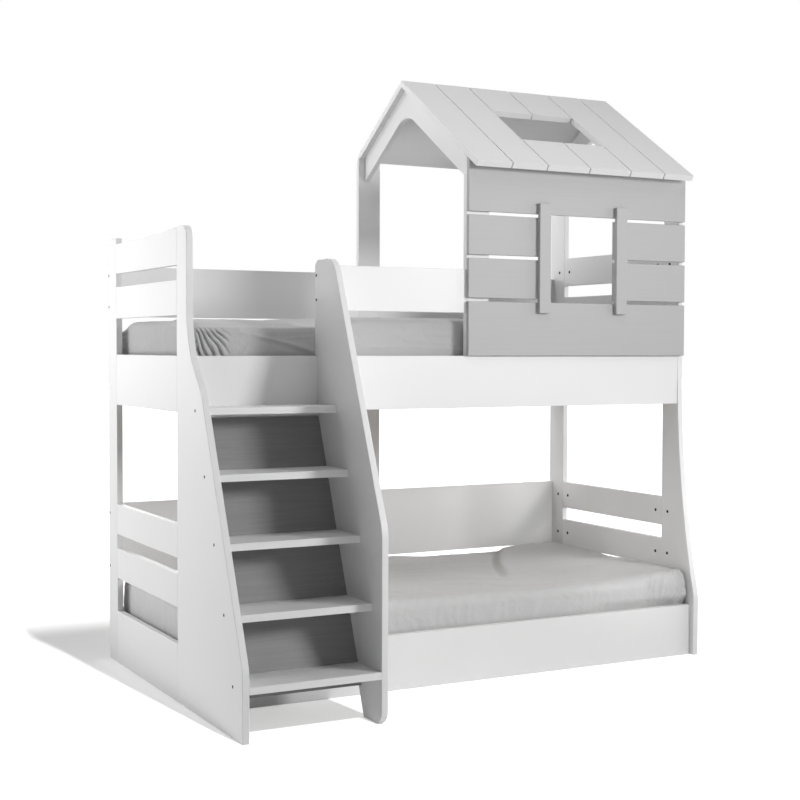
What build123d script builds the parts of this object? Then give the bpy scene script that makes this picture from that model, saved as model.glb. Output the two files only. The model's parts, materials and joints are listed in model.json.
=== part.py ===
from build123d import *
import math
import os

os.makedirs("parts", exist_ok=True)

# A bunk bed of lacquered boards. The upper bunk has stairs at its left end and a
# play house over its right half. The lower bunk is wider than the upper one.
# Places are distances in millimetres: x from the outer face of the left end,
# y from the rear face towards the viewer, z from the floor.

# Driving sizes of the beds
board_thickness = 22.0
plank_thickness = 15.0
edge_bevel = 1.2
mattress_length = 1900.0
upper_mattress_width = 800.0
lower_mattress_width = 890.0
mattress_end_play = 13.0
upper_side_play = 6.7
lower_side_play = 5.7

# Heights of the boards above the floor
plinth_height = 187.5
lower_guard_height = 109.0
lower_guard_bottom = 308.0
lower_guard_gap = 51.0
rear_panel_bottom = 307.0
rear_panel_height = 266.0
upper_rail_bottom = 938.5
upper_rail_height = 181.3
short_rail_height = 197.8
upper_guard_bottom = 1249.3
upper_guard_height = 113.2
top_guard_gap = 47.5
right_top_guard_height = 115.4
rear_guard_bottom = 1257.5
rear_guard_height = 184.0
front_guard_bottom = 1269.1
front_guard_height = 150.4

# Left end
post_width = 101.9
left_post_rise = 128.6
top_panel_drop = 21.0
top_panel_sag = 4.1
stringer_rear_drop = 8.1
stringer_tip_drop = 1.4
stringer_top_width = 96.9

# Stairs
stair_reach = 466.8
stair_width = 429.4
tread_count = 5
lowest_tread_top = 164.1
top_tread_drop = 158.9
handrail_inset = 3.8
neck_rise = 20.7
neck_drop = 128.1
shoulder_share = 0.266
back_board_share = 0.736
back_board_tail = 45.1
right_top_share = 0.254
left_heel_rise = 47.8
right_heel_height = 594.5
right_top_rise = 16.4
handrail_corner_radius = 42.0
neck_radius = 305.0
shoulder_radius = 140.0
heel_radius = 140.0
right_rear_corner_radius = 30.0
right_front_corner_radius = 75.0
toe_radius = 42.0

# Front leg of the right end
leg_top_width = 88.6
leg_foot_margin = 19.0
leg_knee_height = 218.9
leg_sweep_height = 660.4
leg_sweep_share = 0.97
leg_knee_share = 0.022

# House on the upper bunk
house_length = 951.1
house_post_width = 91.6
middle_post_shift = 4.9
middle_post_width = 95.0
house_wall_inset = 4.0
house_bottom_board_height = 189.2
house_top_board_height = 176.5
house_plank_height = 137.8
house_plank_gap = 12.6
house_plank_rows = 2
left_plank_length = 332.1
window_width = 287.5
batten_width = 47.5
batten_overlap = 38.0

# Roof
ridge_depth = 368.3
roof_pitch = 32.8
roof_left_inset = 1.8
roof_right_inset = 9.2
eave_overhang = 53.8
roof_gap = 4.0
roof_plank_shares = (0.1518, 0.1518, 0.188, 0.188, 0.1582)
skylight_first_plank = 2
skylight_last_plank = 3
skylight_top = 210.0
skylight_bottom = 457.4
gable_inset = 22.1
gable_width = 78.3
gable_apex_radius = 113.0
gable_dowel_shares = (0.3, 0.7)

# Bed bases
slat_count = 14
slat_width = 70.0
slat_thickness = 16.0
slat_end_play = 2.0
ledger_thickness = 25.0
ledger_height = 40.0
upper_slat_drop = 36.7
lower_slat_drop = 31.7

# Mattresses
upper_mattress_height = 156.0
lower_mattress_height = 150.0
mattress_seat_gap = 0.3
mattress_corner_radius = 50.0
mattress_side_draw = 5.0
mattress_waist = 5.0
mattress_roll = 25.0
mattress_foot_inset = 10.0
mattress_shoulder_inset = 7.0
mattress_brow_inset = 32.0
mattress_crown_inset = 185.0
mattress_shoulder_drop = 15.5
mattress_brow_drop = 6.0

# Fittings
bore_clearance = 0.2
bore_spare_depth = 0.5
screw_head_radius = 5.0
screw_head_height = 3.0
screw_shank_radius = 3.0
screw_grip = 38.0
screw_socket_width = 5.0
screw_socket_depth = 2.0
screw_edge_inset = 35.0
cam_radius = 6.0
cam_depth = 13.0
cam_reach = 36.0
cam_slot_width = 1.6
cam_slot_depth = 1.5
cam_bolt_radius = 3.0
dowel_radius = 4.0
dowel_shallow = 9.0
dowel_deep = 20.0
dowel_edge_inset = 40.0
dowel_edge_share = 0.25
back_board_dowel_shares = (0.25, 0.5, 0.75)
two_row_share = 1.5
peg_radius = 3.0
peg_half_length = 10.0
ledger_peg_half_length = 14.0
ledger_peg_count = 4

# Places worked out from the sizes above
inner_length = mattress_length + 2 * mattress_end_play
bed_length = inner_length + 2 * board_thickness
inner_left = board_thickness
inner_right = bed_length - board_thickness
upper_front_inner = board_thickness + upper_mattress_width + 2 * upper_side_play
upper_front_outer = upper_front_inner + board_thickness
lower_front_inner = board_thickness + lower_mattress_width + 2 * lower_side_play
lower_front_outer = lower_front_inner + board_thickness
upper_rail_top = upper_rail_bottom + upper_rail_height
short_rail_bottom = upper_rail_top - short_rail_height
upper_slat_top = upper_rail_top - upper_slat_drop
lower_slat_top = plinth_height - lower_slat_drop
front_guard_top = front_guard_bottom + front_guard_height
top_guard_bottom = upper_guard_bottom + upper_guard_height + top_guard_gap
left_post_height = top_guard_bottom + left_post_rise
top_panel_rear_height = left_post_height - top_panel_drop
stringer_rear_height = left_post_height - stringer_rear_drop
stringer_tip_height = left_post_height - stringer_tip_drop
stringer_rear_edge = upper_front_outer - stringer_top_width

stair_right = inner_left + stair_width
stair_outer = stair_right + board_thickness
stair_depth = upper_front_outer + stair_reach
handrail = upper_front_outer - handrail_inset
neck_height = upper_rail_top + neck_rise
shoulder = upper_front_outer + stair_reach * shoulder_share
shoulder_height = neck_height - neck_drop
left_heel_height = lowest_tread_top + left_heel_rise
tread_rise = (upper_rail_top - top_tread_drop - lowest_tread_top) / (tread_count - 1)
back_board_foot = upper_front_outer + stair_reach * back_board_share
back_board_bottom = lowest_tread_top - board_thickness - back_board_tail
right_top_front = upper_front_outer + stair_reach * right_top_share
right_top_height = front_guard_top + right_top_rise

leg_rear_edge = upper_front_outer - leg_top_width
leg_foot_depth = lower_front_outer + leg_foot_margin
house_left = bed_length - house_length
house_post_right = house_left + house_post_width
middle_post_left = house_left - middle_post_shift
middle_post_right = middle_post_left + middle_post_width
wall_front = upper_front_outer + plank_thickness
wall_right = bed_length - house_wall_inset
batten_front = wall_front + plank_thickness
window_bottom = upper_rail_top + house_bottom_board_height
window_height = house_plank_rows * (house_plank_height + house_plank_gap) + house_plank_gap
window_top = window_bottom + window_height
window_left = house_left + left_plank_length
window_right = window_left + window_width

roof_left = house_left + roof_left_inset
roof_right = bed_length - roof_right_inset
pitch_angle = math.radians(roof_pitch)
roof_fall = math.tan(pitch_angle)
roof_drop = board_thickness / math.cos(pitch_angle)
wall_rise = (wall_front - ridge_depth) * roof_fall
ridge_height = window_top + house_top_board_height + roof_drop + wall_rise
front_slope_length = (wall_front + eave_overhang - ridge_depth) / math.cos(pitch_angle)
roof_plank_widths = [(roof_right - roof_left) * share for share in roof_plank_shares]
gable_drop = (board_thickness + gable_width) / math.cos(pitch_angle)
gable_left_edge = house_left + gable_inset
gable_right_edge = inner_right - board_thickness

nodes = {}
bores = {}
fittings = {"side_screws": [], "cam_discs": [], "cam_bolts": [], "dowels": []}


def place(x, y, z):
    """A point of the bed in the frame centred on its footprint, with the front at -Y."""
    return Vector(x - bed_length / 2, stair_depth / 2 - y, z)


def slab(x, y, z):
    """A straight board with eased edges, from three pairs of distances."""
    low = place(x[0], y[1], z[0])
    high = place(x[1], y[0], z[1])
    size = high - low
    board = Pos(low) * Box(size.X, size.Y, size.Z, align=(Align.MIN, Align.MIN, Align.MIN))
    return chamfer(board.edges(), edge_bevel)


def rounded_edges(x, corners):
    """Edges of an outline of (y, z, radius) corners in the plane at x, each corner an arc."""
    points = [Vector(0, y, z) for y, z, _ in corners]
    ends = []
    for i, corner in enumerate(corners):
        here = points[i]
        back = (points[i - 1] - here).normalized()
        ahead = (points[(i + 1) % len(points)] - here).normalized()
        half = math.radians(back.get_angle(ahead)) / 2
        reach = corner[2] / math.tan(half)
        middle = here + (back + ahead).normalized() * (corner[2] / math.sin(half) - corner[2])
        ends.append((here + back * reach, middle, here + ahead * reach))
    edges = []
    for i, (start, middle, end) in enumerate(ends):
        if corners[i][2] > 0:
            arc = [place(x, p.Y, p.Z) for p in (start, middle, end)]
            edges.append(ThreePointArc(*arc))
        following = ends[(i + 1) % len(ends)][0]
        edges.append(Line(place(x, end.Y, end.Z), place(x, following.Y, following.Z)))
    return edges


def eased(board):
    """A board with the edges of both of its sides eased."""
    return chamfer(board.faces().filter_by(Axis.X).edges(), edge_bevel)


def profile_board(x, corners):
    """A board cut to an outline in y and z, running from x[0] to x[1]."""
    face = Face(Wire(rounded_edges(x[0], corners)))
    return eased(extrude(face, amount=x[1] - x[0], dir=(1, 0, 0)))


def roof_top(y):
    """Height of the roof's upper surface."""
    return ridge_height - abs(y - ridge_depth) * roof_fall


def roof_underside(y):
    """Height of the roof boards' lower surface."""
    return roof_top(y) - roof_drop


def on_front_slope(run, depth):
    """Point (y, z) at a run down the front slope and a depth below its surface."""
    y = ridge_depth + run * math.cos(pitch_angle) - depth * math.sin(pitch_angle)
    z = ridge_height - run * math.sin(pitch_angle) - depth * math.cos(pitch_angle)
    return y, z


def bore(shape, *names):
    """Keep a hole to be cut from the named nodes once all of them are made."""
    for name in names:
        bores.setdefault(name, []).append(shape)


def rod(start, direction, radius, length):
    """A round rod from a point along a direction."""
    plane = Plane(origin=start, z_dir=direction)
    return plane * Cylinder(radius, length, align=(Align.CENTER, Align.CENTER, Align.MIN))


def dowel(seam, direction, before, after, radius, first, second):
    """A dowel across a seam, reaching back into the first node and on into the second."""
    axis = Vector(*direction).normalized()
    start = seam - axis * before
    fittings["dowels"].append(rod(start, axis, radius, before + after))
    mouth = start - axis * bore_spare_depth
    length = before + after + 2 * bore_spare_depth
    bore(rod(mouth, axis, radius + bore_clearance, length), first, second)


def side_screw(face_point, inward, outer, inner):
    """A screw with a hexagon socket, its head flush in one board and its tip in the next."""
    axis = Vector(*inward)
    seat = face_point + axis * screw_head_height
    tip = board_thickness + screw_grip - screw_head_height
    head = rod(face_point, axis, screw_head_radius, screw_head_height)
    shank = rod(seat, axis, screw_shank_radius, tip)
    hexagon = RegularPolygon(screw_socket_width / 2, 6, major_radius=False)
    socket = extrude(Plane(origin=face_point, z_dir=axis) * hexagon, amount=screw_socket_depth)
    fittings["side_screws"].append(head + shank - socket)
    bore(rod(face_point, axis, screw_head_radius + bore_clearance, screw_head_height), outer)
    hole = rod(seat, axis, screw_shank_radius + bore_clearance, tip + bore_spare_depth)
    bore(hole, outer, inner)


def cam_joint(face_x, into, y, z, rear, front):
    """Two cam discs and the double-ended bolt that pull two butted end boards together."""
    axis = Vector(into, 0, 0)
    for name, side in ((rear, -1), (front, 1)):
        mouth = place(face_x, y + side * cam_reach, z)
        disc = rod(mouth, axis, cam_radius, cam_depth)
        slot = Box(cam_slot_depth, cam_radius, cam_slot_width)
        slot += Box(cam_slot_depth, cam_slot_width, cam_radius)
        disc -= Pos(mouth + axis * (cam_slot_depth / 2)) * slot
        fittings["cam_discs"].append(disc)
        bore(rod(mouth, axis, cam_radius + bore_clearance, cam_depth), name)
    half = cam_reach - cam_radius - bore_clearance
    middle = place(face_x + into * board_thickness / 2, y, z)
    toward_front = Vector(0, -1, 0)
    fittings["cam_bolts"].append(rod(middle - toward_front * half, toward_front, cam_bolt_radius, 2 * half))
    hole = rod(middle - toward_front * half, toward_front, cam_bolt_radius + bore_clearance, 2 * half)
    bore(hole, rear, front)


def rows_of(bottom, top):
    """Heights of the fittings across a board: one row, or two on a wide board."""
    if top - bottom < two_row_share * lower_guard_height:
        return [(bottom + top) / 2]
    inset = (top - bottom) * dowel_edge_share
    return [bottom + inset, top - inset]


# Boards between the post and the front piece of each end: bottom and top heights
end_rows = {
    "bottom_board": (0, plinth_height),
    "lower_guard_board_1": (lower_guard_bottom, lower_guard_bottom + lower_guard_height),
    "lower_guard_board_2": (
        lower_guard_bottom + lower_guard_height + lower_guard_gap,
        lower_guard_bottom + 2 * lower_guard_height + lower_guard_gap,
    ),
    "mid_panel": (upper_rail_bottom, upper_rail_top),
    "upper_guard_board": (upper_guard_bottom, upper_guard_bottom + upper_guard_height),
}


def left_end():
    """The left end: rear post, five boards, a top panel with a dipped edge and the stringer."""
    x = (0, board_thickness)
    nodes["left_rear_post"] = slab(x, (0, post_width), (0, left_post_height))
    for name, z in end_rows.items():
        nodes["left_" + name] = slab(x, (post_width, stringer_rear_edge), z)
    low = [(post_width, top_guard_bottom), (stringer_rear_edge, top_guard_bottom)]
    start = (post_width, top_panel_rear_height)
    end = (stringer_rear_edge, stringer_rear_height)
    dip = ((start[0] + end[0]) / 2, (start[1] + end[1]) / 2 - top_panel_sag)
    arc = ThreePointArc(place(0, *end), place(0, *dip), place(0, *start))
    sides = Polyline(place(0, *start), place(0, *low[0]), place(0, *low[1]), place(0, *end))
    panel = Face(Wire([arc] + sides.edges()))
    nodes["left_top_panel"] = eased(extrude(panel, amount=board_thickness, dir=(1, 0, 0)))
    corners = [
        (stringer_rear_edge, 0, 0),
        (stringer_rear_edge, stringer_rear_height, 0),
        (handrail, stringer_tip_height, handrail_corner_radius),
        (handrail, neck_height, neck_radius),
        (shoulder, shoulder_height, shoulder_radius),
        (stair_depth, left_heel_height, heel_radius),
        (stair_depth, 0, 0),
    ]
    nodes["left_stringer"] = profile_board(x, corners)


def right_end():
    """The right end: rear post and front leg up to the roof, with six boards between."""
    x = (inner_right, bed_length)
    post = [(0, 0, 0), (0, roof_underside(0), 0)]
    post += [(post_width, roof_underside(post_width), 0), (post_width, 0, 0)]
    nodes["right_rear_post"] = profile_board(x, post)
    reach = leg_foot_depth - upper_front_outer
    drop = leg_sweep_height - leg_knee_height
    radius_of_run = math.hypot(reach, drop) / math.tan(math.atan2(reach, drop) / 2)
    leg = [
        (leg_rear_edge, 0, 0),
        (leg_rear_edge, roof_underside(leg_rear_edge), 0),
        (upper_front_outer, roof_underside(upper_front_outer), 0),
        (upper_front_outer, leg_sweep_height, leg_sweep_share * radius_of_run),
        (leg_foot_depth, leg_knee_height, leg_knee_share * radius_of_run),
        (leg_foot_depth, 0, 0),
    ]
    nodes["right_front_leg"] = profile_board(x, leg)
    for name, z in end_rows.items():
        nodes["right_" + name] = slab(x, (post_width, leg_rear_edge), z)
    top = (top_guard_bottom, top_guard_bottom + right_top_guard_height)
    nodes["right_top_guard_board"] = slab(x, (post_width, leg_rear_edge), top)


def end_fittings():
    """Cam discs and bolts that hold the boards of both ends between post and front piece."""
    fronts = {
        "left": ("left_stringer", stringer_rear_edge),
        "right": ("right_front_leg", leg_rear_edge),
    }
    faces = {"left": (inner_left, -1), "right": (inner_right, 1)}
    tops = {
        "left": ("left_top_panel", (top_guard_bottom, top_panel_rear_height)),
        "right": ("right_top_guard_board", (top_guard_bottom, top_guard_bottom + right_top_guard_height)),
    }
    for side in ("left", "right"):
        boards = [(side + "_" + name, z) for name, z in end_rows.items()] + [tops[side]]
        face_x, into = faces[side]
        front, front_edge = fronts[side]
        for name, z in boards:
            for height in rows_of(*z):
                cam_joint(face_x, into, post_width, height, side + "_rear_post", name)
                cam_joint(face_x, into, front_edge, height, name, front)


def back_board_line(z):
    """Rear face of the back board at a height; the right stringer's rear edge runs on to the floor."""
    share = z / upper_rail_bottom
    return back_board_foot + (upper_front_inner - back_board_foot) * share


back_slope = (back_board_foot - upper_front_inner) / upper_rail_bottom
back_board_run = board_thickness * math.hypot(1, back_slope)


def tread_front(top):
    """Front face of a tread with this top, flush with the left stringer's front edge."""
    fall = (shoulder_height - top) / (shoulder_height - left_heel_height)
    return min(shoulder + (stair_depth - shoulder) * fall, stair_depth)


def tread_top(step):
    """Height of a tread, counted from the top one."""
    return lowest_tread_top + tread_rise * (tread_count - 1 - step)


def stairs():
    """The right stringer, the leaning back board and five treads between the stringers."""
    rear_top = (upper_front_inner, right_top_height, right_rear_corner_radius)
    corners = [
        (back_board_foot, 0, 0),
        (upper_front_inner, upper_rail_bottom, 0),
        rear_top,
        (right_top_front, right_top_height, right_front_corner_radius),
        (stair_depth, right_heel_height, heel_radius),
        (stair_depth, 0, toe_radius),
    ]
    nodes["right_stringer"] = profile_board((stair_right, stair_outer), corners)
    x = (inner_left, stair_right)
    foot, head = back_board_line(back_board_bottom), back_board_line(short_rail_bottom)
    board = [
        (foot, back_board_bottom, 0),
        (head, short_rail_bottom, 0),
        (head + back_board_run, short_rail_bottom, 0),
        (foot + back_board_run, back_board_bottom, 0),
    ]
    nodes["stair_back_board"] = profile_board(x, board)
    for step in range(tread_count):
        top = tread_top(step)
        bottom = top - board_thickness
        front = tread_front(top)
        name = f"tread_{step + 1}"
        if bottom > short_rail_bottom:
            nodes[name] = slab(x, (upper_front_outer, front), (bottom, top))
            rear = upper_front_outer
        else:
            rear = back_board_line(bottom) + back_board_run
            edge = back_board_line(top) + back_board_run
            outline = [(rear, bottom, 0), (edge, top, 0), (front, top, 0), (front, bottom, 0)]
            nodes[name] = profile_board(x, outline)
        middle = (bottom + top) / 2
        screw_y = (rear + front) / 2
        side_screw(place(0, screw_y, middle), (1, 0, 0), "left_stringer", name)
        side_screw(place(stair_outer, screw_y, middle), (-1, 0, 0), "right_stringer", name)
    for share in back_board_dowel_shares:
        height = back_board_bottom + (short_rail_bottom - back_board_bottom) * share
        y = back_board_line(height) + back_board_run / 2
        for x_seam, into, stringer in ((inner_left, 1, "left_stringer"), (stair_right, -1, "right_stringer")):
            seam = place(x_seam, y, height)
            dowel(seam, (into, 0, 0), dowel_shallow, dowel_deep, dowel_radius, stringer, "stair_back_board")


def end_dowels(name, x_seam, into, carrier, y, z):
    """Dowels between the end of a rail and the board that it butts against."""
    inset = min(dowel_edge_inset, (z[1] - z[0]) * dowel_edge_share)
    for height in (z[0] + inset, z[1] - inset):
        seam = place(x_seam, y, height)
        dowel(seam, (into, 0, 0), dowel_shallow, dowel_deep, dowel_radius, carrier, name)


def front_rails():
    """The two upper rails, the guard rail and the lower rail at the front."""
    upper = (upper_front_inner, upper_front_outer)
    middle = (upper_front_inner + upper_front_outer) / 2
    short_z = (short_rail_bottom, upper_rail_top)
    nodes["short_upper_rail"] = slab((inner_left, stair_right), upper, short_z)
    end_dowels("short_upper_rail", inner_left, 1, "left_stringer", middle, short_z)
    end_dowels("short_upper_rail", stair_right, -1, "right_stringer", middle, short_z)
    long_z = (upper_rail_bottom, upper_rail_top)
    nodes["long_upper_rail"] = slab((stair_outer, inner_right), upper, long_z)
    end_dowels("long_upper_rail", stair_outer, 1, "right_stringer", middle, long_z)
    end_dowels("long_upper_rail", inner_right, -1, "right_front_leg", middle, long_z)
    guard_z = (front_guard_bottom, front_guard_top)
    nodes["front_guard_rail"] = slab((stair_outer, house_left), upper, guard_z)
    for height in (front_guard_bottom + screw_edge_inset, front_guard_top - screw_edge_inset):
        side_screw(place(stair_right, middle, height), (1, 0, 0), "right_stringer", "front_guard_rail")
    end_dowels("front_guard_rail", house_left, -1, "house_front_post", middle, guard_z)
    lower_z = (0, plinth_height)
    lower_middle = (lower_front_inner + lower_front_outer) / 2
    lower = (lower_front_inner, lower_front_outer)
    nodes["lower_front_rail"] = slab((inner_left, inner_right), lower, lower_z)
    end_dowels("lower_front_rail", inner_left, 1, "left_stringer", lower_middle, lower_z)
    end_dowels("lower_front_rail", inner_right, -1, "right_front_leg", lower_middle, lower_z)


def rear_side():
    """The middle rear post and the boards butted to both of its edges."""
    y = (0, board_thickness)
    middle = board_thickness / 2
    post = [(0, 0, 0), (0, roof_underside(0), 0)]
    post += [(board_thickness, roof_underside(board_thickness), 0), (board_thickness, 0, 0)]
    nodes["middle_rear_post"] = profile_board((middle_post_left, middle_post_right), post)
    rows = {
        "rear_lower_rail": (0, plinth_height),
        "rear_lower_panel": (rear_panel_bottom, rear_panel_bottom + rear_panel_height),
        "rear_upper_rail": (upper_rail_bottom, upper_rail_top),
        "rear_upper_guard": (rear_guard_bottom, rear_guard_bottom + rear_guard_height),
    }
    screwed = ("rear_lower_panel", "rear_upper_guard")
    for row, z in rows.items():
        left = row + "_left"
        right = row + "_right"
        nodes[left] = slab((inner_left, middle_post_left), y, z)
        nodes[right] = slab((middle_post_right, inner_right), y, z)
        end_dowels(left, middle_post_left, -1, "middle_rear_post", middle, z)
        end_dowels(right, middle_post_right, 1, "middle_rear_post", middle, z)
        if row in screwed:
            for height in (z[0] + screw_edge_inset, z[1] - screw_edge_inset):
                side_screw(place(0, middle, height), (1, 0, 0), "left_rear_post", left)
                side_screw(place(bed_length, middle, height), (-1, 0, 0), "right_rear_post", right)
        else:
            end_dowels(left, inner_left, 1, "left_rear_post", middle, z)
            end_dowels(right, inner_right, -1, "right_rear_post", middle, z)


def house_wall():
    """The front wall of the house: its post, boards, planks beside the window and battens."""
    post = [
        (upper_front_inner, upper_rail_top, 0),
        (upper_front_inner, roof_underside(upper_front_inner), 0),
        (upper_front_outer, roof_underside(upper_front_outer), 0),
        (upper_front_outer, upper_rail_top, 0),
    ]
    nodes["house_front_post"] = profile_board((house_left, house_post_right), post)
    middle = (upper_front_inner + upper_front_outer) / 2
    inset = house_post_width * dowel_edge_share
    for x in (house_left + inset, house_post_right - inset):
        seam = place(x, middle, upper_rail_top)
        dowel(seam, (0, 0, 1), dowel_deep, dowel_deep, dowel_radius, "long_upper_rail", "house_front_post")
    y = (upper_front_outer, wall_front)
    x = (house_left, wall_right)
    nodes["house_bottom_board"] = slab(x, y, (upper_rail_top, window_bottom))
    rows = []
    bottom = window_bottom + house_plank_gap
    for _ in range(house_plank_rows):
        rows.append((bottom, bottom + house_plank_height))
        bottom += house_plank_height + house_plank_gap
    outline = [
        (y[0], window_top, 0),
        (y[0], roof_underside(y[0]), 0),
        (y[1], roof_underside(y[1]), 0),
        (y[1], window_top, 0),
    ]
    nodes["house_top_board"] = profile_board(x, outline)
    sides = {"left": (house_left, window_left), "right": (window_right, wall_right)}
    battens = {
        "left": (window_left - batten_width, window_left),
        "right": (window_right, window_right + batten_width),
    }
    batten_z = (window_bottom - batten_overlap, window_top + batten_overlap)
    carriers = {
        "left": ("house_front_post", (house_left + house_post_right) / 2),
        "right": ("right_front_leg", bed_length - board_thickness / 2),
    }
    for side in ("left", "right"):
        planks = "house_planks_" + side
        batten = "window_batten_" + side
        nodes[planks] = Part(children=[slab(sides[side], y, z) for z in rows])
        nodes[batten] = slab(battens[side], (wall_front, batten_front), batten_z)
        carrier, x_carrier = carriers[side]
        x_batten = (battens[side][0] + battens[side][1]) / 2
        overlap_middle = batten_overlap / 2
        spots = [("house_bottom_board", window_bottom - overlap_middle)]
        spots += [(planks, (z[0] + z[1]) / 2) for z in rows]
        spots += [("house_top_board", window_top + overlap_middle)]
        for name, height in spots:
            peg(place(x_carrier, y[0], height), carrier, name)
            peg(place(x_batten, y[1], height), name, batten)


def peg(seam, rear, front):
    """A short peg across the seam between two thin boards that lie face to face."""
    dowel(seam, (0, -1, 0), peg_half_length, peg_half_length, peg_radius, rear, front)


def gables():
    """Two arched gable boards under the roof, at the left opening and inside the right end."""
    rear = board_thickness
    front = upper_front_inner
    inner_apex = ridge_height - gable_drop
    corners = [
        (rear, roof_underside(rear), 0),
        (ridge_depth, roof_underside(ridge_depth), 0),
        (front, roof_underside(front), 0),
        (front, roof_top(front) - gable_drop, 0),
        (ridge_depth, inner_apex, gable_apex_radius),
        (rear, roof_top(rear) - gable_drop, 0),
    ]
    left = (gable_left_edge, gable_left_edge + board_thickness)
    right = (gable_right_edge, inner_right)
    nodes["gable_left"] = profile_board(left, corners)
    nodes["gable_right"] = profile_board(right, corners)
    x_left = (left[0] + left[1]) / 2
    half_band = (roof_drop + gable_drop) / 2
    for y, into, post in ((rear, 1, "middle_rear_post"), (front, -1, "house_front_post")):
        seam = place(x_left, y, roof_top(y) - half_band)
        dowel(seam, (0, -into, 0), dowel_shallow, dowel_deep, dowel_radius, post, "gable_left")
    rear_lap = (rear + post_width) / 2
    front_lap = (leg_rear_edge + front) / 2
    for y, post in ((rear_lap, "right_rear_post"), (front_lap, "right_front_leg")):
        seam = place(inner_right, y, roof_top(y) - half_band)
        dowel(seam, (1, 0, 0), dowel_shallow, dowel_shallow, dowel_radius, "gable_right", post)


def roof_plank(x, start, end):
    """A front roof plank between two runs down the slope, its ends square to the slope."""
    outline = [on_front_slope(start, 0), on_front_slope(end, 0)]
    outline += [on_front_slope(end, board_thickness)]
    if start == 0:
        lap = roof_drop / (2 * roof_fall)
        outline += [(ridge_depth - lap, roof_top(ridge_depth - lap))]
    else:
        outline += [on_front_slope(start, board_thickness)]
    return profile_board(x, [(y, z, 0) for y, z in outline])


def roof():
    """Six front planks, two of them cut short round the skylight, and the rear panel."""
    lap = roof_drop / (2 * roof_fall)
    panel = [
        (ridge_depth - lap, roof_top(ridge_depth - lap), 0),
        (ridge_depth, roof_underside(ridge_depth), 0),
        (0, roof_underside(0), 0),
        (0, roof_top(0), 0),
    ]
    nodes["roof_rear_panel"] = profile_board((roof_left, roof_right), panel)
    starts = [roof_left]
    ends = []
    for width in roof_plank_widths:
        ends.append(starts[-1] + width)
        starts.append(ends[-1] + roof_gap)
    ends.append(roof_right)
    groups = {"roof_long_planks": [], "roof_skylight_planks_upper": [], "roof_skylight_planks_lower": []}
    normal = Vector(0, -math.sin(pitch_angle), math.cos(pitch_angle))
    wall_middle = (upper_front_outer + wall_front) / 2
    ridge_seam = ridge_depth - lap / 2
    for i, x in enumerate(zip(starts, ends)):
        x_middle = (x[0] + x[1]) / 2
        if skylight_first_plank <= i <= skylight_last_plank:
            upper = "roof_skylight_planks_upper"
            lower = "roof_skylight_planks_lower"
            groups[upper].append(roof_plank(x, 0, skylight_top))
            groups[lower].append(roof_plank(x, skylight_bottom, front_slope_length))
        else:
            upper = lower = "roof_long_planks"
            groups[upper].append(roof_plank(x, 0, front_slope_length))
        wall_seam = place(x_middle, wall_middle, roof_underside(wall_middle))
        dowel(wall_seam, normal, peg_half_length, peg_half_length, peg_radius, "house_top_board", lower)
        seam_z = (roof_underside(ridge_depth) + roof_top(ridge_depth - lap)) / 2
        seam = place(x_middle, ridge_seam, seam_z)
        dowel(seam, normal, dowel_deep, peg_half_length, dowel_radius, "roof_rear_panel", upper)
    for name, planks in groups.items():
        nodes[name] = Part(children=planks)
    rear_normal = Vector(0, math.sin(pitch_angle), math.cos(pitch_angle))
    for gable, x in (("gable_left", gable_left_edge), ("gable_right", gable_right_edge)):
        x_middle = x + board_thickness / 2
        for share in gable_dowel_shares:
            y = board_thickness + (ridge_depth - board_thickness) * share
            seam = place(x_middle, y, roof_underside(y))
            dowel(seam, rear_normal, dowel_deep, peg_half_length, dowel_radius, gable, "roof_rear_panel")
            y = ridge_depth + (upper_front_inner - ridge_depth) * share
            seam = place(x_middle, y, roof_underside(y))
            dowel(seam, normal, dowel_deep, peg_half_length, dowel_radius, gable, "roof_long_planks")


def bed_base(level, slat_top, front_inner, carriers):
    """Two ledgers on the rails of one bunk and the slats that lie across them."""
    ledger_top = slat_top - slat_thickness
    z = (ledger_top - ledger_height, ledger_top)
    x = (inner_left, inner_right)
    rear = slab(x, (board_thickness, board_thickness + ledger_thickness), z)
    front = slab(x, (front_inner - ledger_thickness, front_inner), z)
    ledgers = level + "_slat_ledgers"
    nodes[ledgers] = Part(children=[rear, front])
    y = (board_thickness + slat_end_play, front_inner - slat_end_play)
    pitch = (inner_length - slat_width) / slat_count
    slats = []
    for i in range(slat_count):
        start = inner_left + pitch / 2 + i * pitch
        slats.append(slab((start, start + slat_width), y, (ledger_top, slat_top)))
    nodes[level + "_slats"] = Part(children=slats)
    height = (z[0] + z[1]) / 2
    for rail, start, end, side in carriers:
        y_seam = board_thickness if side < 0 else front_inner
        step = (end - start) / ledger_peg_count
        for i in range(ledger_peg_count):
            seam = place(start + step * (i + 1 / 2), y_seam, height)
            axis = (0, 1, 0) if side > 0 else (0, -1, 0)
            dowel(seam, axis, ledger_peg_half_length, ledger_peg_half_length, peg_radius, rail, ledgers)


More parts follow.
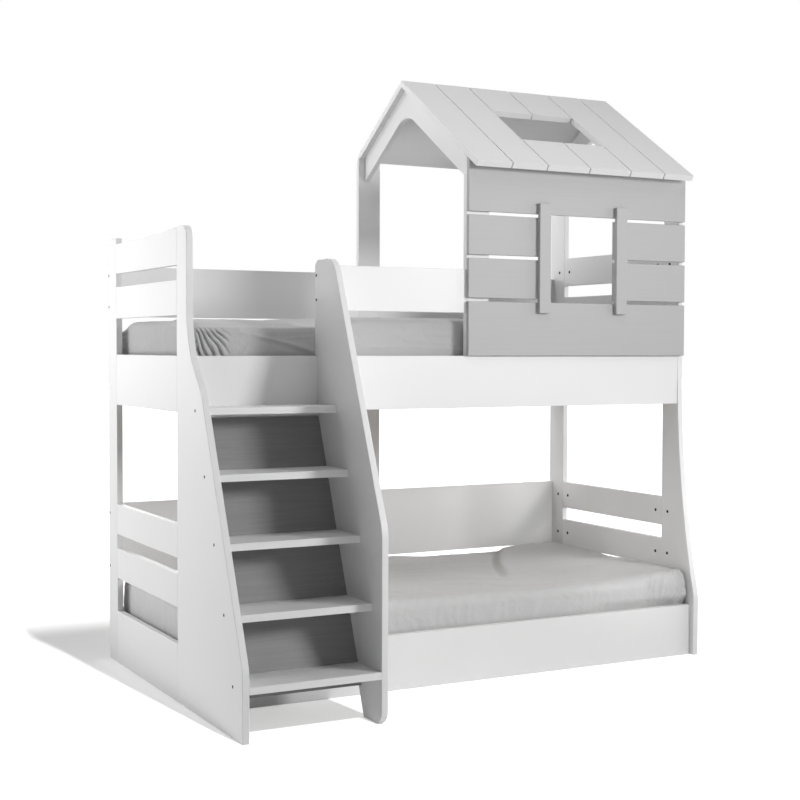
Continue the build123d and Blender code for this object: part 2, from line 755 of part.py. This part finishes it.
def mattress_section(centre, half_length, half_width, height):
    """One level of a mattress: four sides drawn in between four round corners."""
    r = mattress_corner_radius
    bend = r * (1 - math.sqrt(1 / 2))
    edges = []
    corners = [(1, -1), (1, 1), (-1, 1), (-1, -1)]
    for i, (sx, sy) in enumerate(corners):
        along_x = (sx * (half_length - r), sy * half_width)
        along_y = (sx * half_length, sy * (half_width - r))
        first, last = (along_x, along_y) if i % 2 == 0 else (along_y, along_x)
        middle = (sx * (half_length - bend), sy * (half_width - bend))
        edges.append((first, middle, last))
    arcs = []
    for i, (first, middle, last) in enumerate(edges):
        following = edges[(i + 1) % len(edges)][0]
        draw_x = (last[0] + following[0]) / 2
        draw_y = (last[1] + following[1]) / 2
        if i % 2 == 0:
            waist = (draw_x - math.copysign(mattress_side_draw, draw_x), draw_y)
        else:
            waist = (draw_x, draw_y - math.copysign(mattress_side_draw, draw_y))
        arcs.append([first, middle, last])
        arcs.append([last, waist, following])
    wires = []
    for arc in arcs:
        points = [place(centre[0] + px, centre[1] - py, height) for px, py in arc]
        wires.append(ThreePointArc(*points))
    return Wire(wires)


def mattress(level, seat, front_inner, width, height):
    """A mattress with a crowned top, soft edges and sides that draw in at the waist."""
    centre = (bed_length / 2, (board_thickness + front_inner) / 2)
    bottom = seat + mattress_seat_gap
    top = bottom + height
    levels = [
        (bottom, mattress_foot_inset),
        (bottom + mattress_roll, 0),
        ((bottom + top) / 2, mattress_waist),
        (top - mattress_roll - mattress_shoulder_drop, 0),
        (top - mattress_shoulder_drop, mattress_shoulder_inset),
        (top - mattress_brow_drop, mattress_brow_inset),
        (top, mattress_crown_inset),
    ]
    sections = []
    for z, inset in levels:
        section = mattress_section(centre, mattress_length / 2 - inset, width / 2 - inset, z)
        sections.append(section)
    nodes[level + "_mattress"] = loft([Face(section) for section in sections], ruled=True)


left_end()
right_end()
stairs()
front_rails()
rear_side()
house_wall()
gables()
roof()
end_fittings()
bed_base(
    "upper",
    upper_slat_top,
    upper_front_inner,
    [
        ("rear_upper_rail_left", inner_left, middle_post_left, -1),
        ("rear_upper_rail_right", middle_post_right, inner_right, -1),
        ("long_upper_rail", stair_outer, inner_right, 1),
    ],
)
bed_base(
    "lower",
    lower_slat_top,
    lower_front_inner,
    [
        ("rear_lower_rail_left", inner_left, middle_post_left, -1),
        ("rear_lower_rail_right", middle_post_right, inner_right, -1),
        ("lower_front_rail", inner_left, inner_right, 1),
    ],
)
mattress("upper", upper_slat_top, upper_front_inner, upper_mattress_width, upper_mattress_height)
mattress("lower", lower_slat_top, lower_front_inner, lower_mattress_width, lower_mattress_height)
for name, shapes in bores.items():
    solids = [solid.cut(*shapes) for solid in nodes[name].solids()]
    nodes[name] = Part(children=[Part(solid.wrapped) for solid in solids])
for name, shapes in fittings.items():
    nodes[name] = Part(children=shapes)

for name, shape in nodes.items():
    export_step(shape, f"parts/{name}.step")
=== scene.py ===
import json
import math

import bmesh
import bpy
import numpy as np
from mathutils import Matrix, Vector


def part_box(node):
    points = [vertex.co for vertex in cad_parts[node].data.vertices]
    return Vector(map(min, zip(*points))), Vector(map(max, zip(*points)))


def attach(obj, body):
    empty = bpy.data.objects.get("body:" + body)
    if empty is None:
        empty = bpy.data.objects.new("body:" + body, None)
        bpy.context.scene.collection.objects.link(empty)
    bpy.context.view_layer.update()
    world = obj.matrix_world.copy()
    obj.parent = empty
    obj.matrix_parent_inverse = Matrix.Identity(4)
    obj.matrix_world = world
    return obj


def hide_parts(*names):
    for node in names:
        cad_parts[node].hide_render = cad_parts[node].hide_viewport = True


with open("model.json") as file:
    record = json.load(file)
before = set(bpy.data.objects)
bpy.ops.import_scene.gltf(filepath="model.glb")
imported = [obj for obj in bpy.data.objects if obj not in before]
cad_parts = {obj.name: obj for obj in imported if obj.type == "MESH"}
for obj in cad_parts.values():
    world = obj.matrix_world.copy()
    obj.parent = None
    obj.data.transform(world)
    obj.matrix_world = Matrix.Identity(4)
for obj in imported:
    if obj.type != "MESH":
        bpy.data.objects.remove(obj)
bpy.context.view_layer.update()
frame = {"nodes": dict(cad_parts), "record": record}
scene = bpy.context.scene
scene.view_settings.view_transform = "Standard"

# The bed's own measures: x from the left end's outer face, y from the rear face, in millimetres
BED_LENGTH, BED_DEPTH = 1970.0, 1324.2

# How far a sheet's surface sinks where no fold raises it, in millimetres
SHEET_SINK = 2.5


# Camera

def aim_camera():
    """Camera at the photograph's place, in metres and radians, without lens shift."""
    spot = (-2.4971, -4.4757, 1.1480)
    yaw, pitch, roll = 0.4878, -0.0368, 0.0027
    forward = Vector((math.sin(yaw) * math.cos(pitch), math.cos(yaw) * math.cos(pitch), math.sin(pitch)))
    level = Vector((math.cos(yaw), -math.sin(yaw), 0))
    up = level.cross(forward)
    right = level * math.cos(roll) + up * math.sin(roll)
    up = up * math.cos(roll) - level * math.sin(roll)
    camera = bpy.data.objects.new("camera", bpy.data.cameras.new("camera"))
    camera.data.lens = 64.21
    camera.data.sensor_width = 36
    turn = Matrix((right, up, -forward)).transposed().to_4x4()
    camera.matrix_world = Matrix.Translation(spot) @ turn
    scene.collection.objects.link(camera)
    scene.camera = camera


# Materials

class Signal:
    """A number in a material's nodes. Arithmetic on it adds the Math nodes that do it."""

    def __init__(self, finish, socket):
        self.finish, self.socket = finish, socket

    def maths(self, operation, *values):
        return self.finish.node("ShaderNodeMath", {"operation": operation}, dict(enumerate(values)))

    def __add__(self, other):
        return self.maths("ADD", self, other)

    def __sub__(self, other):
        return self.maths("SUBTRACT", self, other)

    def __rsub__(self, other):
        return self.maths("SUBTRACT", other, self)

    def __mul__(self, other):
        return self.maths("MULTIPLY", self, other)

    def __abs__(self):
        return self.maths("ABSOLUTE", self)

    __radd__, __rmul__ = __add__, __mul__

    def ramp(self, low, high):
        """0 below low and 1 above high, smooth between them."""
        settings = {"interpolation_type": "SMOOTHSTEP"}
        return self.finish.node("ShaderNodeMapRange", settings, {0: self, 1: low, 2: high})


class Finish:
    """One material: a Principled shader and the nodes that feed it."""

    def __init__(self, name, **constants):
        self.material = bpy.data.materials.new(name)
        self.material.use_nodes = True
        self.tree = self.material.node_tree
        self.tree.nodes.clear()
        self.shader = self.tree.nodes.new("ShaderNodeBsdfPrincipled")
        output = self.tree.nodes.new("ShaderNodeOutputMaterial")
        self.tree.links.new(self.shader.outputs[0], output.inputs["Surface"])
        for socket, value in constants.items():
            self.shader.inputs[socket.replace("_", " ")].default_value = value

    def node(self, kind, settings=None, inputs=None, out=0):
        """Adds a node, sets it, gives its sockets their values or links, and returns one output."""
        made = self.tree.nodes.new(kind)
        for key, value in (settings or {}).items():
            setattr(made, key, value)
        for key, value in (inputs or {}).items():
            if isinstance(value, Signal):
                self.tree.links.new(value.socket, made.inputs[key])
            else:
                made.inputs[key].default_value = value
        return Signal(self, made.outputs[out])

    def place(self, scale=(1, 1, 1), turn=(0, 0, 0)):
        """The piece's own coordinates in metres, stretched and turned."""
        spot = self.node("ShaderNodeTexCoord", out="Object")
        return self.node("ShaderNodeMapping", None, {"Vector": spot, "Scale": scale, "Rotation": turn})

    def noise(self, scale, detail, rough=0.5, warp=0.0, where=None):
        """Noise about 0.5: scale in waves to the metre, detail in octaves, rough and warp as shares."""
        inputs = {"Vector": where or self.place(), "Scale": scale, "Detail": detail}
        inputs.update({"Roughness": rough, "Distortion": warp})
        return self.node("ShaderNodeTexNoise", None, inputs)

    def blend(self, share, first, second):
        """The first colour turning into the second as share goes from 0 to 1."""
        inputs = {"Factor": share}
        for key, value in ((6, first), (7, second)):
            inputs[key] = value if isinstance(value, Signal) else (*value, 1)
        return self.node("ShaderNodeMix", {"data_type": "RGBA"}, inputs, out=2)

    def feed(self, **sockets):
        """Links signals to the shader's sockets, whose names have _ for each space."""
        for socket, value in sockets.items():
            self.tree.links.new(value.socket, self.shader.inputs[socket.replace("_", " ")])

    def relief(self, height, distance, strength):
        """Bumps of a height signal, whose full height is distance in metres."""
        inputs = {"Height": height, "Distance": distance, "Strength": strength}
        self.feed(Normal=self.node("ShaderNodeBump", None, inputs))


def tone(grey, warmth=0.0):
    """A linear colour from a grey level, a little warmer than neutral."""
    return (grey * (1 + warmth), grey, grey * (1 - warmth))


def lacquer(name, grey, roughness, texture, grain_share=0.0):
    """Sprayed board: faint clouds in the colour, fine orange peel, and eased edges that are rubbed and
    carry a painted highlight.

    texture is the height of the orange peel. grain_share is how much of the board's grain shows, as
    darker streaks along x.
    """
    f = Finish(name, IOR=1.48)
    clouds = f.noise(1.6, 3.0, 0.55)
    peel = f.noise(420.0, 2.0, 0.6)
    swell = f.noise(38.0, 2.0)
    specks = f.noise(900.0, 1.0).ramp(0.68, 0.78)
    facing = f.node("ShaderNodeNewGeometry", out="True Normal")
    across = f.node("ShaderNodeSeparateXYZ", None, {0: facing}, out="X")
    slant_of_eased_edge, sharpness = 0.707, 12
    slanted = 1 - abs(abs(across) - slant_of_eased_edge) * sharpness
    eased = slanted.maths("MAXIMUM", slanted, 0.0)
    rubbed = eased * f.noise(24.0, 4.0, 0.7).ramp(0.42, 0.66)
    along_x = f.place(scale=(1.0, 34.0, 34.0))
    grain = f.noise(4.0, 6.0, 0.72, 0.3, where=along_x).ramp(0.36, 0.64)
    body = f.blend(clouds, tone(grey * 0.965), tone(grey * 1.02))
    body = f.blend(grain * grain_share, body, tone(grey * 0.6))
    body = f.blend(specks * 0.35, body, tone(grey * 0.86))
    brightest = 0.92
    # Rubbed wear and painted highlight: in noisy patches, the eased chamfers facing partly along x turn
    # lighter and rougher.
    worn_and_highlit = f.blend(rubbed * 0.45, body, tone(min(grey * 1.12, brightest), 0.01))
    f.feed(Base_Color=worn_and_highlit, Roughness=roughness + clouds * 0.08 + peel * 0.06 + rubbed * 0.1 - 0.07)
    f.relief(peel * texture + swell * 0.5, 0.00035, 0.35)
    return f.material


def bare_timber(name, along):
    """Planed softwood: rings stretched along the board, pale early wood and darker late wood."""
    f = Finish(name, IOR=1.45)
    stretch = (1.2, 14, 14) if along == "x" else (14, 1.2, 14)
    wave = {"wave_type": "RINGS", "rings_direction": "Z"}
    inputs = {"Vector": f.place(scale=stretch), "Scale": 1.4}
    inputs.update({"Distortion": 5.5, "Detail": 3.0, "Detail Scale": 1.2})
    bands = f.node("ShaderNodeTexWave", wave, inputs).ramp(0.25, 0.95)
    fibre = f.noise(9.0, 5.0, 0.65, where=f.place(scale=tuple(s * 5 for s in stretch)))
    early, late, pale = (0.62, 0.45, 0.27), (0.50, 0.32, 0.17), (0.70, 0.55, 0.36)
    wood = f.blend(fibre * 0.5, f.blend(bands, early, late), pale)
    f.feed(Base_Color=wood, Roughness=0.58 + fibre * 0.18)
    f.relief(fibre * 0.7 - bands * 0.3, 0.0006, 0.5)
    return f.material


def dark_steel():
    """Zinc-plated steel gone dark: brushed, with brighter rubbed places."""
    f = Finish("dark_steel", Metallic=1.0)
    brushed = f.noise(1500.0, 2.0, 0.6, where=f.place(scale=(1, 1, 0.15)))
    rubbed = f.noise(320.0, 3.0, 0.6).ramp(0.5, 0.75)
    f.feed(Base_Color=f.blend(rubbed, tone(0.012), tone(0.035)), Roughness=0.38 + brushed * 0.2)
    f.relief(brushed, 0.00005, 0.5)
    return f.material


def jersey(name, grey):
    """Cotton sheet: a fine plain weave, slubs along the thread, and soft crumples between folds."""
    f = Finish(name, Sheen_Weight=0.18, Sheen_Roughness=0.5, IOR=1.4)
    threads = []
    for turn in (0.785, 0.785 + math.pi / 2):
        wave = {"wave_type": "BANDS", "bands_direction": "DIAGONAL"}
        inputs = {"Vector": f.place(turn=(0.0, 0.0, turn)), "Scale": 420.0}
        inputs.update({"Distortion": 0.6, "Detail": 1.0})
        threads.append(f.node("ShaderNodeTexWave", wave, inputs))
    weave = threads[0].maths("MAXIMUM", *threads)
    slubs = f.noise(3.0, 4.0, 0.6, where=f.place(scale=(12, 260, 120)))
    crumple = f.noise(17.0, 5.0, 0.62, 0.9)
    patches = f.noise(2.6, 3.0)
    cloth = f.blend(patches, tone(grey * 0.93), tone(grey * 1.06))
    cloth = f.blend(weave * 0.2 + slubs * 0.25, cloth, tone(grey * 1.18))
    f.feed(Base_Color=cloth, Roughness=0.84 + slubs * 0.1)
    f.relief(crumple * 3.2 + weave * 0.12 + slubs * 0.12, 0.004, 0.32)
    return f.material


# Soft pieces

def smooth(low, high, value):
    """0 below low and 1 above high, smooth between them; low may be the larger."""
    share = np.clip((value - low) / (high - low), 0, 1)
    return share * share * (3 - 2 * share)


def bell(middle, width, value):
    """1 at the middle, falling to 0 a little beyond one width either way."""
    return np.exp(-((value - middle) / width) ** 2)


def ripple(x, y, seed):
    """Even noise from -1 to 1: a lattice of random heights, one unit apart, blended smoothly."""
    count = 64
    lattice = np.random.default_rng(seed).uniform(-1, 1, (count, count))
    i, j = np.floor(x).astype(int), np.floor(y).astype(int)
    u, v = x - i, y - j
    u, v = u * u * (3 - 2 * u), v * v * (3 - 2 * v)
    rows = []
    for a in (0, 1):
        near = lattice[(i + a) % count, j % count]
        far = lattice[(i + a) % count, (j + 1) % count]
        rows.append(near * (1 - v) + far * v)
    return rows[0] * (1 - u) + rows[1] * u


def creases(x, y, length, width, turn, seed):
    """Narrow ridges with wide valleys, 0 to 1: 1 minus the size of a stretched, bent noise, sharpened."""
    bend = ripple(x / 260, y / 260, seed + 7) * 70
    along = (x * math.cos(turn) + y * math.sin(turn) + bend) / length
    across = (y * math.cos(turn) - x * math.sin(turn) + bend * 0.6) / width
    return (1 - np.abs(ripple(along, across, seed))) ** 5


def fan(across, down, count):
    """Creases that spread from a pulled corner: -1 in their narrow valleys, 0 between them."""
    angle = np.arctan2(across, np.maximum(down, 1.0)) + ripple(across / 40, down / 60, 2) * 0.02
    reach = np.hypot(across, down)
    return -((1 - np.abs(np.sin(angle * count))) ** 2.5) * smooth(12, 60, reach)


def marks(length, coarse, zones):
    """Places from -1 to 1 along a side: coarse steps, and finer ones in each zone (start, stop, step)."""
    places = [0.0]
    while places[-1] < length:
        steps = [step for start, stop, step in zones if start <= places[-1] < stop]
        places.append(places[-1] + (steps[0] if steps else coarse))
    return np.array(places) / places[-1] * 2 - 1


def rounded_block(low, high, radii, ticks):
    """Six grids on a box whose edges are rounded as ellipses: radii at the low and the high faces."""
    low, high, (low_radii, high_radii) = np.array(low), np.array(high), np.array(radii)
    half, centre = (high - low) / 2, (high + low) / 2
    points, faces, start = [], [], 0
    for axis in range(3):
        a, b = (axis + 1) % 3, (axis + 2) % 3
        for side in (-1, 1):
            p, q = np.meshgrid(ticks[a], ticks[b], indexing="ij")
            grid = np.empty(p.shape + (3,))
            grid[..., axis], grid[..., a], grid[..., b] = side, p, q
            index = np.arange(p.size).reshape(p.shape) + start
            quads = [index[:-1, :-1], index[1:, :-1], index[1:, 1:], index[:-1, 1:]]
            quads = np.stack(quads if side > 0 else quads[::-1], -1).reshape(-1, 4)
            points.append(grid.reshape(-1, 3) * half)
            faces.append(quads)
            start += p.size
    points, faces = np.concatenate(points), np.concatenate(faces)
    radii = np.where(points < 0, low_radii, high_radii)
    inner = np.clip(points, low_radii - half, half - high_radii)
    away = (points - inner) / radii
    away /= np.maximum(np.linalg.norm(away, axis=1, keepdims=True), 1e-9)
    normal = away / radii
    normal /= np.linalg.norm(normal, axis=1, keepdims=True)
    return centre, half, inner + away * radii, normal, faces


def mattress(name, node, finish, radii, overhang, grid, lift, wrinkles):
    """A mattress in its fitted sheet.

    A block with elliptic edges, a little within the CAD mattress's box except for its overhang at the
    right. Its sides draw in between the corners as 1 - (x/half)^4, its top is raised by lift(x, y), and
    its surface moves along its normal by wrinkles(x, y, z, top, front, end), in millimetres. top, front
    and end say how far the surface faces up, to the front and to the right, and front and end are
    negative to the rear and the left. radii are those of the left, front and bottom edges, then of the
    right, rear and top ones, and grid holds marks' steps and zones for each axis.
    """
    side_room, foot_room, crown_room = 2.5, 0.2, 7
    side_draw, end_draw = 4, 3
    low, high = [np.array(c) * 1000 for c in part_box(node)]
    low = low + [side_room, side_room, foot_room]
    high = high - [side_room - overhang, side_room, crown_room]
    ticks = [marks(side, coarse, zone) for side, (coarse, zone) in zip(high - low, grid)]
    centre, half, points, normal, faces = rounded_block(low, high, radii, ticks)
    x = points[:, 0] + centre[0] + BED_LENGTH / 2
    y = BED_DEPTH / 2 - points[:, 1] - centre[1]
    z = points[:, 2] + centre[2]
    share = points / half
    top, front, end = np.clip(normal[:, 2], 0, 1), np.clip(-normal[:, 1], -1, 1), normal[:, 0]
    level = 1 - share[:, 2] ** 2
    points[:, 1] -= np.sign(points[:, 1]) * side_draw * (1 - share[:, 0] ** 4) * level * np.abs(front)
    points[:, 0] -= np.sign(points[:, 0]) * end_draw * (1 - share[:, 1] ** 4) * level * np.abs(end)
    points += normal * wrinkles(x, y, z, top, front, end)[:, None]
    points[:, 2] += smooth(-0.2, 1.0, share[:, 2]) * lift(x, y)
    mesh = bpy.data.meshes.new(name)
    mesh.from_pydata((points + centre) / 1000, [], faces.tolist())
    clean = bmesh.new()
    clean.from_mesh(mesh)
    bmesh.ops.remove_doubles(clean, verts=clean.verts, dist=0.0002)
    bmesh.ops.recalc_face_normals(clean, faces=clean.faces)
    clean.to_mesh(mesh)
    clean.free()
    mesh.polygons.foreach_set("use_smooth", np.ones(len(mesh.polygons), bool))
    piece = bpy.data.objects.new(name, mesh)
    scene.collection.objects.link(piece)
    mesh.materials.append(finish)
    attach(piece, node + "_body")
    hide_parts(node)


def lower_lift(x, y):
    """The lower sheet's top: a slanting fold with a raised lobe to its right, a hollow along the rear, a
    high right end with a notch at its rear, and a soft fall to the front."""
    lobe_height, groove_depth, hollow_depth, fall_depth = 10, 5, 9, 9
    fold = (x - (1702 - 0.78 * y + 0.00027 * y ** 2)) * 0.8
    lobe = smooth(-5, 20, fold) * smooth(712, 640, y)
    groove = bell(-13, 10, fold) * smooth(740, 640, y) * smooth(10, 90, y)
    hollow = smooth(1150, 1390, x) * smooth(1740, 1600, x) * smooth(330, 60, y)
    swells = 2 * np.cos((y - 600) * math.pi / 200) + 6 * bell(745, 60, y) - 7 * bell(485, 60, y)
    end = smooth(1700, 1900, x) * (8 + swells + 6 * smooth(600, 720, y))
    fall = smooth(620, 900, y) * smooth(1800, 1600, x)
    crown = 4 * (1 - ((x - BED_LENGTH / 2) / 950) ** 6)
    left_rise = 4 * smooth(1300, 1100, x)
    rear_corner = 4 * smooth(1690, 1780, x) * smooth(330, 60, y)
    notch = 9 * bell(1862, 24, x) * smooth(90, 40, y)
    lift = lobe * lobe_height - groove * groove_depth - hollow * hollow_depth + end - fall * fall_depth
    lift = lift + crown + left_rise + rear_corner - notch
    softened_above = 18
    return lift - 0.6 * np.maximum(lift - softened_above, 0)


def lower_wrinkles(x, y, z, top, front, end):
    """Long slack creases on top, upright ripples down the front, gathers at the front corners and round
    the right end, and a front right corner that bulges above the rail and spreads below."""
    ahead, right, left = np.clip(front, 0, 1), np.clip(end, 0, 1), np.clip(-end, 0, 1)
    long_folds = creases(x, y, 420, 58, 0.12, 3) * 3.4 + creases(x, y, 300, 90, -0.35, 5) * 2.4
    long_folds += creases(x, y, 190, 40, 0.5, 31) * 1.6 * smooth(1250, 1000, x)
    side_folds = creases(z * 2.2, x, 240, 30, 0.0, 11) * 2.2
    left_folds = creases(z * 2.2, y, 200, 34, 0.0, 17) * 2.4 * left
    bulge = 20 * smooth(190, 225, z) * smooth(1760, 1900, x) * ahead
    tuck = 7 * smooth(222, 192, z) * smooth(1500, 1600, x) * smooth(1905, 1860, x) * ahead
    spread = 15 * smooth(275, 215, z) * ahead * right
    gathers = fan(1962 - x, 330 - z, 24) * 11 * (ahead * smooth(1850, 1905, x))
    gathers += fan(x - 8, 330 - z, 17) * 4 * smooth(170, 90, x) * np.abs(front)
    round_end = fan(940 - y, 325 - z, 20) * 7 * right * smooth(700, 860, y)
    folds = top * long_folds + np.abs(front) * side_folds + left_folds
    return folds + bulge - tuck + spread + gathers + round_end - SHEET_SINK


def upper_lift(x, y):
    """The upper sheet's top: low along the front left, higher towards the house, domed behind its edge."""
    edge = -20 + 32 * smooth(430, 640, x)
    dome = 27 - 19 * smooth(430, 640, x)
    return edge + dome * smooth(835, 660, y) * smooth(20, 150, y) + 1.5 * ripple(x / 160, y / 160, 21)


def upper_wrinkles(x, y, z, top, front, end):
    """A fan of pleats below the front left corner, slanting drag lines after it, a small bunch at the
    house post, slack creases, and a rear left corner that fills its place."""
    ahead = np.clip(front, 0, 1)
    pleats = fan(x + 10, 1390 - z, 40) * 17 * smooth(165, 120, x) * (0.4 + 0.6 * smooth(1245, 1205, z))
    slope = (z - (1194 - (x - 266) * 0.322)) * 0.95
    drag = 4.0 * bell(0, 8, slope) * smooth(225, 275, x) * smooth(490, 420, x)
    drag -= 2.5 * bell(-17, 9, slope) * smooth(240, 290, x) * smooth(490, 420, x)
    slant = creases(x + (z - 1229) * 1.4, z * 2.2, 150, 44, 0.5, 8) * 3.0
    slant = slant * smooth(120, 200, x) * smooth(520, 400, x)
    far = creases(x, z * 4, 420, 80, 0.06, 15) * 2.6 * smooth(500, 620, x)
    bunch = fan(1040 - x, 1262 - z, 16) * 2.5 * smooth(930, 1000, x) * smooth(1060, 1030, x)
    long_folds = creases(x, y, 380, 70, 0.1, 9) * 3.0
    end_folds = creases(y + (z - 1160) * 1.5, z * 2, 190, 50, 0.4, 19) * 2.4
    rear_corner = 14 * np.clip(-front, 0, 1) * np.clip(-end, 0, 1)
    folds = ahead * (pleats + drag + slant + far + bunch) + top * long_folds + np.abs(end) * end_folds
    return folds + rear_corner - SHEET_SINK


# Room

def lay_floor():
    """A pale floor that keeps its own lamp's shadow and turns white behind the object."""
    reach, height = 40.0, -0.0005
    corners = [(-reach, -reach), (reach, -reach), (reach, reach), (-reach, reach)]
    mesh = bpy.data.meshes.new("floor")
    mesh.from_pydata([(x, y, height) for x, y in corners], [], [(0, 1, 2, 3)])
    floor = bpy.data.objects.new("floor", mesh)
    scene.collection.objects.link(floor)
    f = Finish("studio_floor", Roughness=0.9, Base_Color=(0.8, 0.8, 0.8, 1), Emission_Strength=1.0)
    seen = f.node("ShaderNodeLightPath", out="Is Camera Ray")
    behind = f.node("ShaderNodeSeparateXYZ", None, {0: f.place()}, out="Y").ramp(1.1, 1.5)
    glow = f.blend(behind, tone(0.43), tone(1.0))
    f.feed(Emission_Color=f.blend(seen, (0, 0, 0), glow))
    mesh.materials.append(f.material)
    return floor


def surround():
    """White to the camera, in reflections and through anything clear; a faint even light to all else."""
    world = bpy.data.worlds.new("studio")
    scene.world = world
    world.use_nodes = True
    tree = world.node_tree
    tree.nodes.clear()
    rays = tree.nodes.new("ShaderNodeLightPath")
    seen = rays.outputs["Is Camera Ray"]
    for other in ("Is Glossy Ray", "Is Transmission Ray"):
        either = tree.nodes.new("ShaderNodeMath")
        either.operation = "MAXIMUM"
        tree.links.new(seen, either.inputs[0])
        tree.links.new(rays.outputs[other], either.inputs[1])
        seen = either.outputs[0]
    faint, white = tree.nodes.new("ShaderNodeBackground"), tree.nodes.new("ShaderNodeBackground")
    faint.inputs["Color"].default_value = (0.07, 0.07, 0.07, 1)
    white.inputs["Color"].default_value = (1, 1, 1, 1)
    mixed = tree.nodes.new("ShaderNodeMixShader")
    output = tree.nodes.new("ShaderNodeOutputWorld")
    tree.links.new(seen, mixed.inputs[0])
    tree.links.new(faint.outputs[0], mixed.inputs[1])
    tree.links.new(white.outputs[0], mixed.inputs[2])
    tree.links.new(mixed.outputs[0], output.inputs[0])


def collection(name, piece, state):
    """A light's receivers: only this piece, or all but it."""
    made = bpy.data.collections.new(name)
    made.objects.link(piece)
    made.collection_objects[0].light_linking.link_state = state
    return made


def hang(data, spot, direction, receivers):
    """Puts a lamp at a spot, facing along a direction, with only its receivers lit."""
    light = bpy.data.objects.new(data.name, data)
    light.location = spot
    light.rotation_mode = "QUATERNION"
    light.rotation_quaternion = Vector(direction).to_track_quat("-Z", "Y")
    light.light_linking.receiver_collection = receivers
    scene.collection.objects.link(light)


def lamp(name, spot, target, size, power, receivers, spread=180):
    """A square softbox at a spot, aimed at a target: its side in metres, its power in watts and the
    angle over which it shines in degrees."""
    data = bpy.data.lights.new(name, "AREA")
    data.shape, data.size, data.energy, data.spread = "SQUARE", size, power, math.radians(spread)
    hang(data, spot, Vector(target) - Vector(spot), receivers)


def hang_lamps(floor):
    """Softboxes that light all but the floor, and a small sun that lights only the floor."""
    off_floor = collection("lit_by_studio_lamps", floor, "EXCLUDE")
    on_floor = collection("lit_by_floor_lamp", floor, "INCLUDE")
    lamp("key", (2.5, -4.0, 2.2), (-0.75, -0.4, 0.9), 1.0, 27, off_floor, spread=80)
    lamp("right_far", (4.5, -1.0, 2.0), (0.0, 0.0, 1.0), 2.4, 100, off_floor)
    lamp("left_low", (-3.0, 1.3, 1.1), (-0.98, 0.0, 0.8), 1.2, 31, off_floor)
    lamp("left_floor", (-3.0, -0.3, 0.35), (-0.98, -0.1, 0.8), 0.8, 5, off_floor)
    lamp("top", (-0.3, -1.4, 3.9), (-0.2, -0.5, 1.0), 1.4, 21, off_floor)
    lamp("inner_fill", (0.45, -1.9, 0.92), (0.85, 0.4, 0.38), 0.3, 0.38, off_floor, spread=27)
    lamp("rear_high", (-1.5, 1.5, 3.6), (0.0, 0.0, 1.0), 1.6, 33, off_floor)
    lamp("rear_left", (-2.2, 3.0, 1.6), (0.6, 0.0, 0.8), 1.5, 11, off_floor)
    lamp("rear", (0.3, 3.2, 2.4), (0.3, 0.0, 0.8), 1.4, 45, off_floor)
    sun = bpy.data.lights.new("floor_lamp", "SUN")
    sun.energy, sun.angle = 2.75, math.radians(1.2)
    hang(sun, (0, 0, 0), (-0.128, 1.0, -1.16), on_floor)


# Making

aim_camera()
floor = lay_floor()
surround()
hang_lamps(floor)

finishes = {
    "white": lacquer("white_lacquer", grey=0.79, roughness=0.40, texture=0.5),
    "tread_white": lacquer("tread_lacquer", grey=0.83, roughness=0.42, texture=0.6, grain_share=0.16),
    "post_white": lacquer("post_lacquer", grey=0.75, roughness=0.42, texture=0.5),
    "house_grey": lacquer("house_lacquer", grey=0.42, roughness=0.50, texture=0.8, grain_share=0.07),
    "roof_grey": lacquer("roof_lacquer", grey=0.78, roughness=0.50, texture=0.8, grain_share=0.05),
    "slat_timber": bare_timber("slat_timber", along="y"),
    "ledger_timber": bare_timber("ledger_timber", along="x"),
    "riser_grey": lacquer("riser_lacquer", grey=0.25, roughness=0.50, texture=0.9, grain_share=0.28),
    "steel": dark_steel(),
}
by_slot = {
    "white_lacquer": "white",
    "grey_lacquer": "house_grey",
    "riser_lacquer": "riser_grey",
    "roof_lacquer": "roof_grey",
    "bare_wood": "slat_timber",
    "dark_steel": "steel",
}
posts = ("left_rear_post", "middle_rear_post", "right_rear_post")
soft_slot = "sheet_fabric"
for subpart in frame["record"]["subparts"]:
    node, slot = subpart["node"], subpart["material_slot"]
    if slot == soft_slot:
        continue
    finish = by_slot[slot]
    if node in posts:
        finish = "post_white"
    if node.startswith("tread"):
        finish = "tread_white"
    if node.endswith("ledgers"):
        finish = "ledger_timber"
    mesh = frame["nodes"][node].data
    mesh.materials.clear()
    mesh.materials.append(finishes[finish])

# The same grey cloth covers both mattresses; the lower sheet's lighter grey is painted light on it.
mattress(
    "lower_mattress_in_sheet",
    "lower_mattress",
    jersey("lower_sheet", grey=0.55),
    radii=((26, 36, 20), (16, 24, 46)),
    overhang=10,
    grid=[(9.0, [(1740, 1950, 4.5)]), (8.0, [(0, 110, 5.0)]), (5.5, [])],
    lift=lower_lift,
    wrinkles=lower_wrinkles,
)
# The upper sheet's darker grey is painted shade on the same cloth as the lower one.
mattress(
    "upper_mattress_in_sheet",
    "upper_mattress",
    jersey("upper_sheet", grey=0.48),
    radii=((36, 22, 20), (30, 24, 24)),
    overhang=0,
    grid=[(9.0, [(0, 250, 3.5)]), (9.0, []), (5.0, [])],
    lift=upper_lift,
    wrinkles=upper_wrinkles,
)
